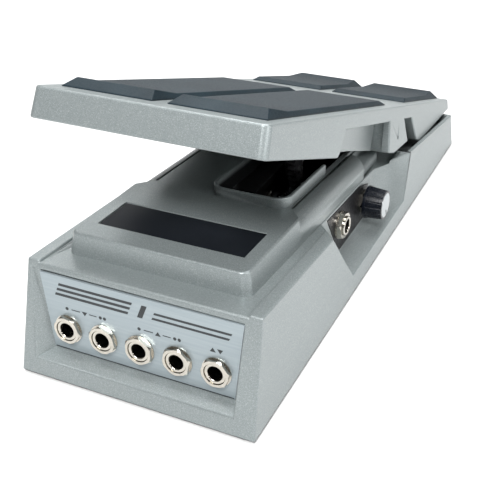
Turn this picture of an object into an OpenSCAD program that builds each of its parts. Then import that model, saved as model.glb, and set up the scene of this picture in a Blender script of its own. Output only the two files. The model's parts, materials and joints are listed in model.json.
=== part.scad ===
// Volume pedal: die-cast base with a rocking treadle that turns a volume potentiometer
// through a sector gear. Phone sockets sit in the front recess and in a side notch.
// Frame: origin under the middle of the base, on the floor. -Y is the socket end,
// +Y the heel end, +Z up. The treadle is drawn toe up, which is its rest position.

/* [Base housing] */
// Length of the base along the floor
base_l = 289; // [286:1:292]
// Width of the base at the floor
base_w = 110; // [108:1:114]
// Width of the base along its top edges
base_top_w = 106.8; // [105:0.2:108]
// Height of the front top edge above the base's lower rim
front_h = 49; // [48:0.5:50]
// How far the front face leans back over its height
front_lean = 13.6; // [12:0.2:14]
// Wall thickness of the casting
wall_t = 3; // [2.5:0.1:3.5]
// Height of the rubber feet below the rim
foot_drop = 1.2; // [0.8:0.1:2]

/* [Deck and platform] */
// Fall of the deck and ledges towards the heel, in degrees
deck_pitch = 5; // [4.8:0.1:5.2]
// Height of the platform's front edge
platform_h = 57; // [56:0.5:57.5]
// Width of the platform at its foot
platform_w = 84.6; // [82:0.2:85]
// Distance from the front rim to the platform's foot
platform_y = 25.6; // [25:0.2:27]
// Height of the collar round the control well
well_rim_h = 5; // [3:0.5:5]

/* [Treadle] */
// Length of the treadle's top plate
treadle_l = 273; // [270:1:273]
// Width of the treadle
treadle_w = 100; // [98:0.5:100]
// Slope of the treadle at rest, toe up, in degrees
treadle_slope = 19.54; // [19:0.02:20]
// Travel of the treadle from toe up to toe down, in degrees
treadle_travel = 17.5; // [12:0.5:17.5]
// Thickness of the treadle's top plate
treadle_t = 3.5; // [3:0.1:4]
// Thickness of the rubber foot pads
pad_t = 2.2; // [1.5:0.1:2.5]

/* [Sockets and controls] */
// Spacing of the front sockets
jack_pitch = 17.3; // [16.8:0.1:17.6]
// Number of front sockets
jack_count = 5; // [1:1:5]
// Radius of a socket's opening, for a 6.35 mm plug
jack_bore_r = 3.25; // [3.2:0.05:3.4]
// Depth of a socket's opening
jack_bore_l = 27; // [22:1:28]
// Radius of the minimum-volume knob at its foot
knob_foot_r = 8.3; // [7:0.1:8.5]
// Radius of the minimum-volume knob at its cap
knob_tip_r = 7.2; // [6.4:0.1:7.4]
// Number of flutes round the knob
knob_flutes = 18; // [12:1:24]

/* [Gear] */
// Gear module
gear_m = 1; // [0.9:0.1:1]
// Teeth that a full circle of the sector would hold
sector_teeth = 104; // [104:1:106]
// Teeth of the pinion on the volume potentiometer
pinion_teeth = 12; // [12:1:13]
// Direction of the pinion below the forward horizontal, from the hinge, in degrees
mesh_dir = 22; // [21:1:24]
// Thickness of the sector gear
sector_t = 3.6; // [3:0.2:4]

/* [Hidden] */
$fn = 48;
eps = 0.02;
clear = 0.1;            // assembly gap round screws and trim
run_clear = 0.05;       // radial clearance of a running fit

// Base, in the base's own frame: y from the front rim, z from the lower rim
shoulder_y = 198;
shoulder_z = 33.7;
heel_y = 283.5;
heel_z = 20;
ledge_z = 48.6;
ledge_half = 47.4;
strip_rise = 0.6;
ledge_y = 13.6;
deck_z = 54;
platform_draft = 1.5;        // how far the platform's front leans back
platform_side_draft = 1.7;
platform_draft_z = 46;       // where the leaning starts, inside the ledge
platform_corner_r = 4.5;
deck_y = 80;
tongue_r = 8;
tongue_half = 42.2;
tongue_end = 157;
neck_half = 34.2;
neck_end = 195;
slit_x = 33.3;
slit_w = 1.2;
rear_deck_z = 26.5;
rear_deck_y = 203;
rear_deck_fall = 8.6;
rear_half = 51.8;

// Control well in the deck
well_x0 = -3;
well_x1 = 31;
well_y0 = 83.5;
well_y1 = 158;
well_rim_end = 128;
well_rim_t = 1.8;
well_corner_r = 6;

// Side notch: front and rear faces slant, the floor is a shallow sill
notch_wall_x = 42.6;
notch_floor_z = 9.6;
notch_floor_rise = 12;

// Front recess and socket panel, in a frame on the panel's lower edge
panel_y = 9.5;
panel_z = 9.8;
panel_lean = 3.9;
panel_h = 35.2;
panel_half_low = 42.5;
panel_half_top = 46.5;
panel_left_top = 46.6;
recess_corner = [-47.5, 1.5, 5.4];   // where the left wall meets the front face and the lip
panel_t = 1.2;
jack_z = 10.8;
lip_z = 6.6;

// Hinge and treadle
hinge_y = 178.7;
hinge_z = 53.7;
shaft_r = 4;
bush_r = 5.6;
pillar_r = 7.5;
pillar_x0 = 23;
pillar_x1 = 34;
toe_y = 29.8;
toe_z = 119.1;
skirt_t = 3;
inset_x = 42;
inset_front_x = 46;
inset_rear_x = 46;
inset_t = 2.2;
band_h = 7;
lug_x0 = 36;
toe_stop_h = 13.9;
half_w = treadle_w / 2;
skirt_draft = 3.5;
skirt_room = 3;         // what the draft may add to the half width
skirt_deep = 27;
toe_corner_r = 4;
arm_screw_x = 8;
arm_screw_s = [112, 126];

// Foot pads, in the treadle's frame
pad_in = 3.4;
pad_out = 44.4;
pad_edge = 0.5;         // upright part of a pad's edge
pad_side_lean = 38;

// Gear train
sector_r = gear_m * sector_teeth / 2;
pinion_r = gear_m * pinion_teeth / 2;
centre_dist = sector_r + pinion_r;
pot_y = hinge_y - centre_dist * cos(mesh_dir);
pot_z = hinge_z - centre_dist * sin(mesh_dir);
pressure_angle = 25;
backlash_share = 0.07;  // share of a tooth pitch left as play
tip_share = 0.85;       // addendum over module
root_share = 1.15;      // dedendum over module
sector_x = 14;
sector_last = ceil(treadle_travel * sector_teeth / 360) + 1;
sector_screw_a = [mesh_dir - 1, mesh_dir - 14];
sector_screw_r = sector_r - 5.2;
arm_t = 2.4;
arm_r = sector_r - 1.6; // how far the arm reaches down behind the sector

// Volume potentiometer and its bracket
pot_face_x = 4;         // where the bush leaves the case
pot_case_r = 8.4;
pot_bush_r = 4.5;
pot_shaft_r = 3;
bracket_t = 1.4;
bracket_screw_x = -10;
bracket_screw_dy = 12;
hub_l = 2.4;            // pinion's hub, before its teeth

// Side socket and minimum-volume control
side_jack_y = 121.5;
side_jack_z = 28.2;
bush_thread_r = 4.8;
jack_half = 7.2;
jack_mouth = 1.8;
side_jack_mouth = 4.2;
washer_t = 0.4;
nut_t = 1.8;
nut_r = 6.7;
min_pot_y = 154;
min_pot_z = 24.3;
side_plate_t = 1;
min_bush_r = 3.6;
min_shaft_r = 2.5;
knob_h = 9.6;
knob_x = notch_wall_x + 2.6;
knob_cap_z = 8.9;
knob_cap_t = 0.8;

// Front circuit board
board_z = 23.2;
board_t = 1.6;
board_y0 = 42;
board_y1 = 60;
board_screw = [34, 52];
wire_r = 0.75;

// Screws
screw_r = 1.5;
cover_screw_r = 1.5;
cover_t = 1.6;
cover_z = 0.9;
cover_points = [for (y = [20, 110, 200, 272]) for (s = [-1, 1]) [s * (y > 250 ? 40 : 47.5), y]];
foot_points = [for (y = [32, 254]) for (s = [-1, 1]) [s * 38, y]];

// ---------------------------------------------------------------- frames
// Base frame to the part's own frame
module placed() {
  translate([0, -base_l / 2, foot_drop]) children();
}

// Treadle frame: x across, y along the top plate from its toe edge, z square to the plate
module on_treadle() {
  placed() translate([0, toe_y, toe_z]) rotate([-treadle_slope, 0, 0]) children();
}

// Socket panel frame: y inwards, z up the panel from its lower edge
module on_panel() {
  placed() translate([0, panel_y, panel_z]) rotate([-panel_lean, 0, 0]) children();
}

// A frame whose y runs down the pitch of the deck
module pitched(y, z) {
  translate([0, y, z]) rotate([-deck_pitch, 0, 0]) children();
}

// Extrude a [y, z] outline across x, from x0 to x1
module across(x0, x1) {
  translate([x0, 0, 0]) rotate([90, 0, 90]) linear_extrude(x1 - x0) children();
}

// Extrude an [x, z] outline along y, from y0 to y1
module along(y0, y1) {
  translate([0, y1, 0]) rotate([90, 0, 0]) linear_extrude(y1 - y0) children();
}

// Cylinder along x, from x0 to x1
module rod_x(x0, x1, r) {
  translate([x0, 0, 0]) rotate([0, 90, 0]) cylinder(r = r, h = x1 - x0);
}

// Cylinder along y, from y0 to y1
module rod_y(y0, y1, r) {
  translate([0, y1, 0]) rotate([90, 0, 0]) cylinder(r = r, h = y1 - y0);
}

module mirrored() {
  children();
  mirror([1, 0, 0]) children();
}

// ---------------------------------------------------------------- housing
function base_side() = [
  [0, 0], [front_lean, front_h], [shoulder_y, shoulder_z], [heel_y, heel_z], [base_l, 0]
];

// [x, z] outline that gives the side walls their draft
module base_draft() {
  polygon([[-base_w / 2, -1], [base_w / 2, -1],
           [base_top_w / 2, front_h + 1], [-base_top_w / 2, front_h + 1]]);
}

module base_block() {
  intersection() {
    across(-base_w, base_w) polygon(base_side());
    along(-1, base_l + 1) base_draft();
  }
}

// What lies above the ledges, between the two raised edge strips
module ledge_cut() {
  pitched(ledge_y, ledge_z) translate([-ledge_half, -30, -strip_rise])
    cube([2 * ledge_half, neck_end - ledge_y + 30, 20]);
}

// Lowered deck that takes the heel end of the treadle
module rear_cut() {
  across(-rear_half, rear_half)
    polygon([[neck_end + 1, 60], [neck_end + 1, ledge_z - (neck_end - ledge_y) * tan(deck_pitch) - 1],
             [rear_deck_y, rear_deck_z],
             [heel_y - wall_t, rear_deck_z - (heel_y - wall_t - rear_deck_y) * tan(rear_deck_fall)],
             [heel_y - wall_t, 60]]);
}

// Raised front platform with drafted sides and round front corners
module platform(grow = 0) {
  half_top = platform_w / 2 - platform_side_draft + grow;
  difference() {
    intersection() {
      across(-60, 60) polygon([[platform_y - grow, 20], [platform_y - grow, platform_draft_z],
        [platform_y + platform_draft - grow, platform_h + grow],
        [deck_y + 4, deck_z + grow + 0.05], [deck_y + 4, 20]]);
      along(0, 100) polygon([[-platform_w / 2 - grow, 20], [platform_w / 2 + grow, 20],
        [platform_w / 2 + grow, platform_draft_z], [half_top, platform_h + grow],
        [-half_top, platform_h + grow], [-platform_w / 2 - grow, platform_draft_z]]);
      linear_extrude(70) platform_plan(grow);
    }
    mirrored() platform_corner(half_top, grow);
  }
}

// What a round front corner of the platform leaves out
module platform_corner(half_top, grow) {
  r = platform_corner_r + grow;
  rise = platform_h + grow - platform_draft_z;
  lean = [-atan(platform_draft / rise), -atan(platform_side_draft / rise), 0];
  translate([half_top, platform_y + platform_draft - grow, platform_h + grow]) rotate(lean) difference() {
    translate([-r, -3, -24]) cube([r + 6, r + 3, 30]);
    // reaches a little past both faces, so that it meets them at a clear angle
    translate([0.15 - r, r - 0.15, -25]) cylinder(r = r, h = 32);
  }
}

// Plan of the platform, with chamfered rear corners
module platform_plan(grow) {
  h = platform_w / 2 + grow;
  polygon([[-h, platform_y - grow], [h, platform_y - grow],
           [h, 76 + grow], [slit_x + 1, deck_y + 4.5 + grow], [-slit_x - 1, deck_y + 4.5 + grow],
           [-h, 76 + grow]]);
}

// [x, z] section of the deck behind the platform, its top at z = 0
module tongue_section(half, drop) {
  r = tongue_r - drop;
  for (s = [-1, 1]) translate([s * (half - tongue_r), -tongue_r]) circle(r = r);
  polygon([[-half + drop, -tongue_r], [-half + tongue_r, -drop], [half - tongue_r, -drop],
           [half - drop, -tongue_r], [half - drop, -40], [-half + drop, -40]]);
}

// Deck: wide beside the well, narrow between the hinge lugs
module tongue(drop = 0) {
  pitched(deck_y, deck_z) {
    along(-6, (tongue_end - deck_y) / cos(deck_pitch) - drop) tongue_section(tongue_half, drop);
    along(0, (neck_end - deck_y) / cos(deck_pitch) - drop)
      translate([0, -drop]) square_top(neck_half - drop);
  }
}

module square_top(half) {
  polygon([[-half, -40], [half, -40], [half, -1], [half - 1, 0], [-half + 1, 0], [-half, -1]]);
}

// Fairing under each hinge lug
module hinge_fairing() {
  mirrored() intersection() {
    across(30, 40.5) polygon([[tongue_end - 2, 20], [tongue_end - 2, 41.6], [186, 39], [186, 20]]);
    translate([0, 0, 10]) {
      translate([30, 150, 0]) cube([10.5, 30, 60]);
      translate([34.5, 180, 0]) cylinder(r = 6, h = 60);
    }
  }
}

// Rounded outline of the well, grown outwards by g
module well_plan(g) {
  r = well_corner_r + g;
  x0 = well_x0 - g;
  x1 = well_x1 + g;
  y0 = well_y0 - g;
  translate([x0 + r, y0 + r]) circle(r = r);
  translate([x1 - r, y0 + r]) circle(r = r);
  translate([x0, y0 + r]) square([x1 - x0, well_y1 - y0 - r]);
  translate([x0 + r, y0]) square([x1 - x0 - 2 * r, 20]);
}

// Collar standing on the deck round the front of the well
module well_rim() {
  intersection() {
    translate([0, 0, 30]) linear_extrude(40) well_plan(well_rim_t);
    pitched(deck_y, deck_z) translate([-20, -5, -4]) cube([70, 90, 4 + well_rim_h]);
    translate([-20, deck_y - 5, 30]) cube([70, well_rim_end - deck_y + 5, 40]);
  }
}

// Narrow slots between the deck and its shoulders
module deck_slots() {
  pitched(deck_y, deck_z) mirrored()
    translate([slit_x, 6, -1.8]) cube([slit_w, tongue_end - deck_y + 10, 10]);
}

// Notch for the side socket and the knob, between two slanted planes and a sill
module side_notch() {
  difference() {
    translate([notch_wall_x, 60, 0]) cube([30, 160, 70]);
    // front face: leans towards the heel on its way down and inwards
    translate([base_top_w / 2, 86.5, 41]) rotate([27.5, 0, -47.5])
      translate([-90, -90, -90]) cube([180, 90, 180]);
    // rear face: leans towards the heel on its way up and outwards
    translate([base_top_w / 2, 184.4, notch_floor_z]) rotate([-10.2, 0, 66.6])
      translate([-90, 0, -90]) cube([180, 90, 180]);
    // sill, rising inwards
    translate([base_w / 2, 60, notch_floor_z]) rotate([0, notch_floor_rise, 0])
      translate([-60, -10, -40]) cube([90, 200, 40]);
  }
}

// Recess for the socket panel: side walls converge inwards and down
module front_recess() {
  intersection() {
    across(-60, 60) polygon([[-8, lip_z - 2.2], [panel_y + 1.2, panel_z + 0.1 - panel_t * 0.07],
      [panel_y + panel_t + (panel_h + 0.4) * sin(panel_lean), panel_z + panel_h + 0.4],
      [-8, panel_z + panel_h + 0.4]]);
    // right wall
    translate([panel_half_low + 0.15, panel_y, panel_z]) rotate([0, 7.5, 20.9])
      translate([-200, -100, -100]) cube([200, 200, 200]);
    // left wall, with more splay
    translate(recess_corner) rotate([0, -13.6, -38.6])
      translate([0, -100, -100]) cube([200, 200, 200]);
  }
  // seat of the socket panel
  translate([0, panel_y, panel_z]) rotate([-panel_lean, 0, 0])
    along(-1, panel_t) panel_outline(clear);
}

// Hollow of the casting, open at the bottom
module base_hollow() {
  wall_back = panel_y + panel_t + wall_t;
  top_in = wall_t + 0.6;
  intersection() {
    across(-60, 60) polygon([[wall_back + 0.5, -1], [wall_back + 3.4, front_h - top_in],
      [shoulder_y - 6, shoulder_z - top_in + 0.5], [shoulder_y, rear_deck_z - 2],
      [rear_deck_y, rear_deck_z - wall_t],
      [heel_y - wall_t, rear_deck_z - (heel_y - rear_deck_y) * tan(rear_deck_fall) - wall_t + 0.6],
      [base_l - wall_t - 1, -1]]);
    along(-1, base_l) polygon([
      [-base_w / 2 + wall_t, -1], [base_w / 2 - wall_t, -1],
      [base_top_w / 2 - wall_t, front_h], [-base_top_w / 2 + wall_t, front_h]]);
  }
  // room under the platform and the deck
  intersection() {
    platform(-wall_t);
    translate([-50, platform_y + wall_t, 30]) cube([100, deck_y + 1 - platform_y - wall_t, 40]);
  }
  difference() {
    tongue(wall_t + 0.5);
    translate([-60, neck_end - wall_t, -10]) cube([120, 30, 100]);
  }
}

module housing() color("silver") placed() difference() {
  union() {
    difference() {
      union() {
        difference() {
          base_block();
          ledge_cut();
          rear_cut();
        }
        platform();
        tongue();
        hinge_fairing();
      }
      base_hollow();
    }
    mirrored() notch_walls();
    well_rim();
    pillars();
    cover_lugs();
    bracket_pillars();
    board_pillars();
  }
  mirrored() side_notch();
  side_plate_seat();
  front_recess();
  translate([0, 0, 30]) linear_extrude(60) well_plan(0);
  deck_slots();
  pad_seat();
  hinge_bores();
  housing_drillings();
  // the lower rim steps in for the bottom cover
  translate([-base_w / 2 + 1.6, 1.6, -1]) cube([base_w - 3.2, base_l - 3.2, cover_z + cover_t + 1]);
}

// Walls of the notch, trimmed to the outside of the casting and hollowed from below
module notch_walls() {
  x0 = notch_wall_x - wall_t - 0.4;
  intersection() {
    base_block();
    difference() {
      translate([x0, 78, cover_z + cover_t]) cube([20, 128, 60]);
      translate([x0 - 1, 81, 0]) cube([12, 6, 36]);
      translate([x0 + 2, 190, 0]) cube([9.5, 13, 23]);
    }
    pitched(ledge_y, ledge_z) translate([-60, -30, -60 - strip_rise]) cube([120, 300, 60]);
  }
}

// Outline of the dark plate on the notch's inner wall, in [y, z], grown by g
function side_plate_outline(g) = [
  [106 - g, 38.2 + g], [121 - g, 13.4 - g], [162 + g, 13.4 - g], [162 + g, 30], [149 + g, 34.6 + g]
];

module side_plate_seat() {
  across(notch_wall_x - side_plate_t, notch_wall_x + eps) polygon(side_plate_outline(clear));
}

module pillars() {
  intersection() {
    mirrored() across(pillar_x0, pillar_x1) {
      translate([hinge_y, hinge_z]) circle(r = pillar_r);
      polygon([[hinge_y - pillar_r, hinge_z], [hinge_y + pillar_r, hinge_z],
               [hinge_y + pillar_r + 2.5, 38], [hinge_y - pillar_r - 2.5, 38]]);
    }
    translate([-60, 0, 38]) cube([120, 300, 60]);
  }
}

module hinge_bores() {
  translate([0, hinge_y, hinge_z]) mirrored() {
    rod_x(pillar_x0 - 1, pillar_x1 + 1, bush_r);
    // tapped hole for the torque screw, from the heel side
    translate([(pillar_x0 + pillar_x1) / 2, 0, 0]) rod_y(0, 30, 2 + clear / 2);
  }
}

module cover_lugs() {
  intersection() {
    base_block();
    for (p = cover_points)
      translate([p[0], p[1], cover_z + cover_t]) cylinder(r = 4.2, h = 12);
  }
}

module bracket_pillars() {
  intersection() {
    for (s = [-1, 1])
      translate([bracket_screw_x, pot_y + s * bracket_screw_dy, pot_z + 11.5]) cylinder(r = 3.5, h = 20);
    pitched(deck_y, deck_z) translate([-60, -10, -41]) cube([120, 200, 40]);
  }
}

module board_pillars() {
  for (s = [-1, 1])
    translate([s * board_screw[0], board_screw[1], board_z + board_t]) cylinder(r = 3.5, h = 28);
}

module pad_seat() {
  pitched_platform() translate([-34.2, 11, -1.2]) cube([68.4, 22.4, 20]);
}

// Frame on the platform's top: y from its front top edge, falling to the deck
module pitched_platform() {
  fall = atan((platform_h - deck_z) / (deck_y + 4 - platform_y - platform_draft));
  translate([0, platform_y + platform_draft, platform_h]) rotate([-fall, 0, 0]) children();
}

// Holes for sockets, pots, screws
module housing_drillings() {
  for (i = [0:jack_count - 1])
    translate([0, panel_y, panel_z]) rotate([-panel_lean, 0, 0]) translate([jack_x(i), 0, jack_z])
      rod_y(0, 14, bush_thread_r + clear);
  translate([0, side_jack_y, side_jack_z]) rod_x(30, 60, bush_thread_r + clear);
  translate([0, min_pot_y, min_pot_z]) rod_x(30, 60, min_bush_r + clear);
  for (p = cover_points)
    translate([p[0], p[1], 0]) cylinder(r = cover_screw_r + clear, h = 10);
  for (s = [-1, 1]) {
    translate([bracket_screw_x, pot_y + s * bracket_screw_dy, pot_z + 8])
      cylinder(r = screw_r + clear, h = 7.6);
    translate([s * board_screw[0], board_screw[1], board_z]) cylinder(r = screw_r + clear, h = 9);
  }
}

// ---------------------------------------------------------------- underside
module bottom_cover() color("dimgray") placed() difference() {
  translate([-base_w / 2 + 1.8, 1.8, cover_z]) cube([base_w - 3.6, base_l - 3.6, cover_t]);
  for (p = cover_points) translate([p[0], p[1], -1]) cylinder(r = cover_screw_r + clear, h = 5);
  for (p = foot_points) translate([p[0], p[1], -1]) cylinder(r = 2.5 + clear, h = 5);
}

module rubber_feet() color("black") placed() for (p = foot_points) translate([p[0], p[1], 0]) {
  translate([0, 0, -foot_drop]) cylinder(r1 = 8, r2 = 8.8, h = foot_drop + cover_z);
  cylinder(r = 2.5, h = cover_z + cover_t);
  translate([0, 0, cover_z + cover_t]) cylinder(r = 3.6, h = 1.4);
}

// Pan-head screw pointing up: head below z = 0, shank above
module screw_up(r, l, head_r, head_h) {
  difference() {
    translate([0, 0, -head_h]) cylinder(r = head_r, h = head_h);
    translate([0, 0, -head_h - eps]) cross_slot(head_r * 1.2, head_h * 0.6);
  }
  cylinder(r = r, h = l);
}

module cross_slot(l, d) {
  for (a = [0, 90]) rotate([0, 0, a]) translate([-l / 2, -0.4, 0]) cube([l, 0.8, d]);
}

module cover_screws() color("dimgray") placed() for (p = cover_points)
  translate([p[0], p[1], cover_z]) screw_up(cover_screw_r, 8, 2.8, cover_z);

// ---------------------------------------------------------------- sockets
function jack_x(i) = (i - (jack_count - 1) / 2) * jack_pitch;

// Outline of the socket panel, grown by g
module panel_outline(g) {
  polygon([[-panel_half_low - g, 0.1 - g], [panel_half_low + g, 0.1 - g],
           [panel_half_top + g, panel_h + g], [-panel_left_top - g, panel_h + g]]);
}

module jack_panel() color("lightsteelblue") on_panel() difference() {
  along(0, panel_t) panel_outline(0);
  for (i = [0:jack_count - 1]) translate([jack_x(i), 0, jack_z]) rod_y(-1, 3, bush_thread_r + clear);
}

// Socket with its threaded bush along y: the mouth is at y = -mouth, the body behind the wall
module jack(mouth, wall, body_l, bore_l) {
  difference() {
    union() {
      rod_y(-mouth, wall + 1, bush_thread_r);
      translate([-jack_half, wall, -8]) cube([2 * jack_half, body_l, 15]);
    }
    rod_y(-mouth - 1, -mouth + bore_l, jack_bore_r);
  }
}

module front_jack(i) color("silver") on_panel()
  translate([jack_x(i), 0, jack_z]) jack(jack_mouth, panel_t + wall_t + 1.6, 24, jack_bore_l);

module side_jack() color("silver") placed() translate([0, side_jack_y, side_jack_z])
  rotate([0, 0, 90]) translate([0, -notch_wall_x, 0])
    jack(side_jack_mouth, wall_t + 0.6, 18, jack_bore_l - 3);

module ring_y(y0, y1, r_out, r_in) difference() {
  rod_y(y0, y1, r_out);
  rod_y(y0 - 1, y1 + 1, r_in);
}

// Hex nut along y, its corners turned up, outer corners chamfered
module hex_nut(y0, y1, r, hole) difference() {
  intersection() {
    translate([0, y1, 0]) rotate([90, 0, 0]) cylinder(r = r, h = y1 - y0, $fn = 6);
    translate([0, y1, 0]) rotate([90, 0, 0])
      cylinder(r1 = r + (y1 - y0) - 0.7, r2 = r - 0.7, h = y1 - y0);
  }
  rod_y(y0 - 1, y1 + 1, hole);
}

module jack_washers() color("gainsboro") on_panel() for (i = [0:jack_count - 1])
  translate([jack_x(i), 0, jack_z]) ring_y(-washer_t, 0, nut_r - 0.2, bush_thread_r + clear);

module jack_nuts() color("gainsboro") on_panel() for (i = [0:jack_count - 1])
  translate([jack_x(i), 0, jack_z]) rotate([0, 11 * i + 8, 0])
    hex_nut(-washer_t - nut_t, -washer_t, nut_r, bush_thread_r);

module side_jack_washer() color("gainsboro") placed()
  translate([notch_wall_x, side_jack_y, side_jack_z]) rotate([0, 0, 90])
    ring_y(-0.7, 0, 6.8, bush_thread_r + clear);

module side_jack_nut() color("gainsboro") placed()
  translate([notch_wall_x, side_jack_y, side_jack_z]) rotate([0, 0, 90])
    rotate([0, 20, 0]) hex_nut(-3.2, -0.7, 7, bush_thread_r);

// Circuit board behind the front sockets, held to two pillars
module jack_board() color("darkgreen") placed() difference() {
  translate([-43, board_y0, board_z]) cube([86, board_y1 - board_y0, board_t]);
  for (s = [-1, 1]) translate([s * board_screw[0], board_screw[1], 0]) cylinder(r = screw_r + clear, h = 40);
}

module jack_board_screws() color("silver") placed() for (s = [-1, 1])
  translate([s * board_screw[0], board_screw[1], board_z]) screw_up(screw_r, 7, 2.8, 1.6);

// Small board that carries the side socket and the minimum-volume control
module control_board() color("darkgreen") placed()
  translate([20.5, side_jack_y - 9, side_jack_z - 10.2]) cube([17, 32, 1.6]);

// Blackened plate set into the notch's inner wall
module side_plate() color("black") placed() difference() {
  across(notch_wall_x - side_plate_t, notch_wall_x) polygon(side_plate_outline(0));
  translate([0, side_jack_y, side_jack_z]) rod_x(30, 60, bush_thread_r + clear);
  translate([0, min_pot_y, min_pot_z]) rod_x(30, 60, min_bush_r + clear);
}

// Rubber pad let into the platform, where the treadle's toe lands
module platform_pad() color("black") placed()
  pitched_platform() translate([-34, 11.2, -1.2]) cube([68, 22, 0.9]);

module heel_stops() color("black") placed() mirrored() {
  z = rear_deck_z - (262 - rear_deck_y) * tan(rear_deck_fall);
  translate([30, 262, z]) rotate([-rear_deck_fall, 0, 0]) cylinder(r = 5, h = 10.2);
}

// ---------------------------------------------------------------- hinge
module hinge_bushes() color("tan") placed() translate([0, hinge_y, hinge_z]) mirrored()
  difference() {
    rod_x(pillar_x0, pillar_x1, bush_r - run_clear / 5);
    rod_x(pillar_x0 - 1, pillar_x1 + 1, shaft_r + run_clear);
  }

module hinge_shaft() color("lightgray") placed() translate([0, hinge_y, hinge_z])
  rod_x(-lug_x0 - 8, lug_x0 + 8, shaft_r);

module friction_washers() color("goldenrod") placed() translate([0, hinge_y, hinge_z]) mirrored()
  difference() {
    rod_x(pillar_x1 + 0.1, lug_x0, 6.5);
    rod_x(pillar_x1, lug_x0 + 1, shaft_r + clear);
  }

// Set screws that squeeze the bushes and set how hard the treadle is to move
module torque_screws() color("dimgray") placed() translate([0, hinge_y, hinge_z]) mirrored()
  translate([(pillar_x0 + pillar_x1) / 2, 0, 0]) difference() {
    rod_y(bush_r, bush_r + 5, 2);
    translate([0, bush_r + 5 + eps, 0]) rotate([90, 0, 0]) cylinder(r = 1.15, h = 2.4, $fn = 6);
  }

// ---------------------------------------------------------------- treadle
// Outline of one side: y along the top plate, z square to it
function skirt_outline() = [
  [0, 0], [treadle_l, 0], [treadle_l + 4, -6], [267, -8.4],
  [213.2, -21], [205.7, -19.8], [191.2, -band_h],
  [174, -band_h], [187.6, -19], [162.4, -23.4], [153.6, -22.8], [150, -band_h],
  [83.3, -band_h], [78.2, -16.1], [75.3, -18.3], [22.1, -14.3], [-1.8, -12.5]
];

// Plate, skirts, end walls and ribs, cut to the skirts' draft and round toe corners
module treadle_shell() difference() {
  intersection() {
    treadle_walls();
    along(-10, treadle_l + 10) polygon([[-half_w, 0], [half_w, 0],
      [half_w + skirt_deep * tan(skirt_draft), -skirt_deep],
      [-half_w - skirt_deep * tan(skirt_draft), -skirt_deep]]);
  }
  mirrored() toe_corner();
}

// What a round toe corner leaves out
module toe_corner() {
  r = toe_corner_r;
  translate([half_w, 0, 0]) rotate([-8.2, -skirt_draft, 0]) difference() {
    translate([-r, -1, -20]) cube([r + 3, r + 1, 40]);
    // reaches a little past both faces, so that it meets them at a clear angle
    translate([0.1 - r, r - 0.1, -21]) cylinder(r = r, h = 42);
  }
}

module treadle_walls() {
  full = half_w + skirt_room;
  intersection() {
    translate([-full, -2, -treadle_t]) cube([2 * full, treadle_l + 8, treadle_t]);
    across(-full, full) polygon(skirt_outline());
  }
  // toe wall and heel wall
  across(-full, full) polygon([[0, 0], [4, 0], [2.2, -12.8], [-1.8, -12.5]]);
  across(-full, full)
    polygon([[treadle_l - 4, 0], [treadle_l, 0], [treadle_l + 4, -6], [treadle_l - 3, -7.2]]);
  mirrored() {
    across(half_w - skirt_t, full) polygon(skirt_outline());
    window_walls(full);
    // lug that holds the hinge shaft
    across(lug_x0, full) polygon([[150, -2], [172, -2], [187.6, -19], [162.4, -23.4], [153.6, -22.8]]);
    // long stiffening rib
    across(19, 21.5) polygon([[2, -2], [treadle_l - 4, -2], [treadle_l - 4, -6.5],
      [205, -8.5], [150, -8.6], [66, -8.6], [2, -9]]);
  }
  // cross ribs
  for (s = [60, 215, 250])
    translate([-half_w + 1, s, -7.5]) cube([treadle_w - 2, 2.5, 6]);
}

// Walls set back behind the openings in a skirt; the front one runs inwards to the lug
module window_walls(full) {
  intersection() {
    across(inset_x - 6, full) polygon([[74, -2], [152, -2], [152, -23], [104, -18.5], [76, -17]]);
    translate([0, 0, -30]) linear_extrude(30)
      polygon([[inset_front_x, 74], [inset_front_x, 100], [inset_x, 152],
        [inset_x - inset_t, 152], [inset_front_x - inset_t, 100], [inset_front_x - inset_t, 74]]);
  }
  across(inset_rear_x - inset_t, inset_rear_x) polygon([[170, -2], [212, -2], [212, -20.6], [185, -18.5]]);
  across(inset_x - inset_t, half_w - 1) polygon([[78, -2], [196, -2], [196, -band_h], [78, -band_h]]);
  // return walls that close the skirt to them
  across(inset_front_x - inset_t, full)
    polygon([[73, -2], [81.3, -2], [80.5, -band_h], [78.2, -16.1], [75.3, -18.3], [73, -18]]);
  across(inset_rear_x - inset_t, full)
    polygon([[189, -2], [194, -2], [207.7, -20.1], [205.7, -19.8], [191.2, -band_h]]);
}

module treadle() color("silver") difference() {
  on_treadle() treadle_shell();
  placed() translate([0, hinge_y, hinge_z]) mirrored() rod_x(lug_x0 - 8, lug_x0 + 8, shaft_r);
  // the ribs give way round the hinge pillars and the drive arm
  placed() translate([0, hinge_y, hinge_z]) rod_x(-lug_x0, lug_x0, pillar_r + 0.8);
  // shallow slot in each lug's outer face
  on_treadle() mirrored() translate([half_w + 0.5, 167, -16]) rotate([8, 0, 0]) {
    translate([0, -0.6, 0]) cube([5, 1.2, 8]);
    rod_x(0, 5, 1);
  }
  for (s = arm_screw_s)
    on_treadle() translate([arm_screw_x, s, -4.3]) cylinder(r = screw_r + clear, h = 3.4);
}

// Pad from x0 to x1 across, its sides leaning inwards, with an [s, h] outline along the treadle
module foot_pad(x0, x1, outline) {
  rise = 6;
  lean = rise * tan(pad_side_lean);
  on_treadle() intersection() {
    across(x0, x1) polygon(outline);
    along(-1, treadle_l) polygon([[x0, 0], [x1, 0], [x1, pad_edge], [x1 - lean, pad_edge + rise],
      [x0 + lean, pad_edge + rise], [x0, pad_edge]]);
  }
}

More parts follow.
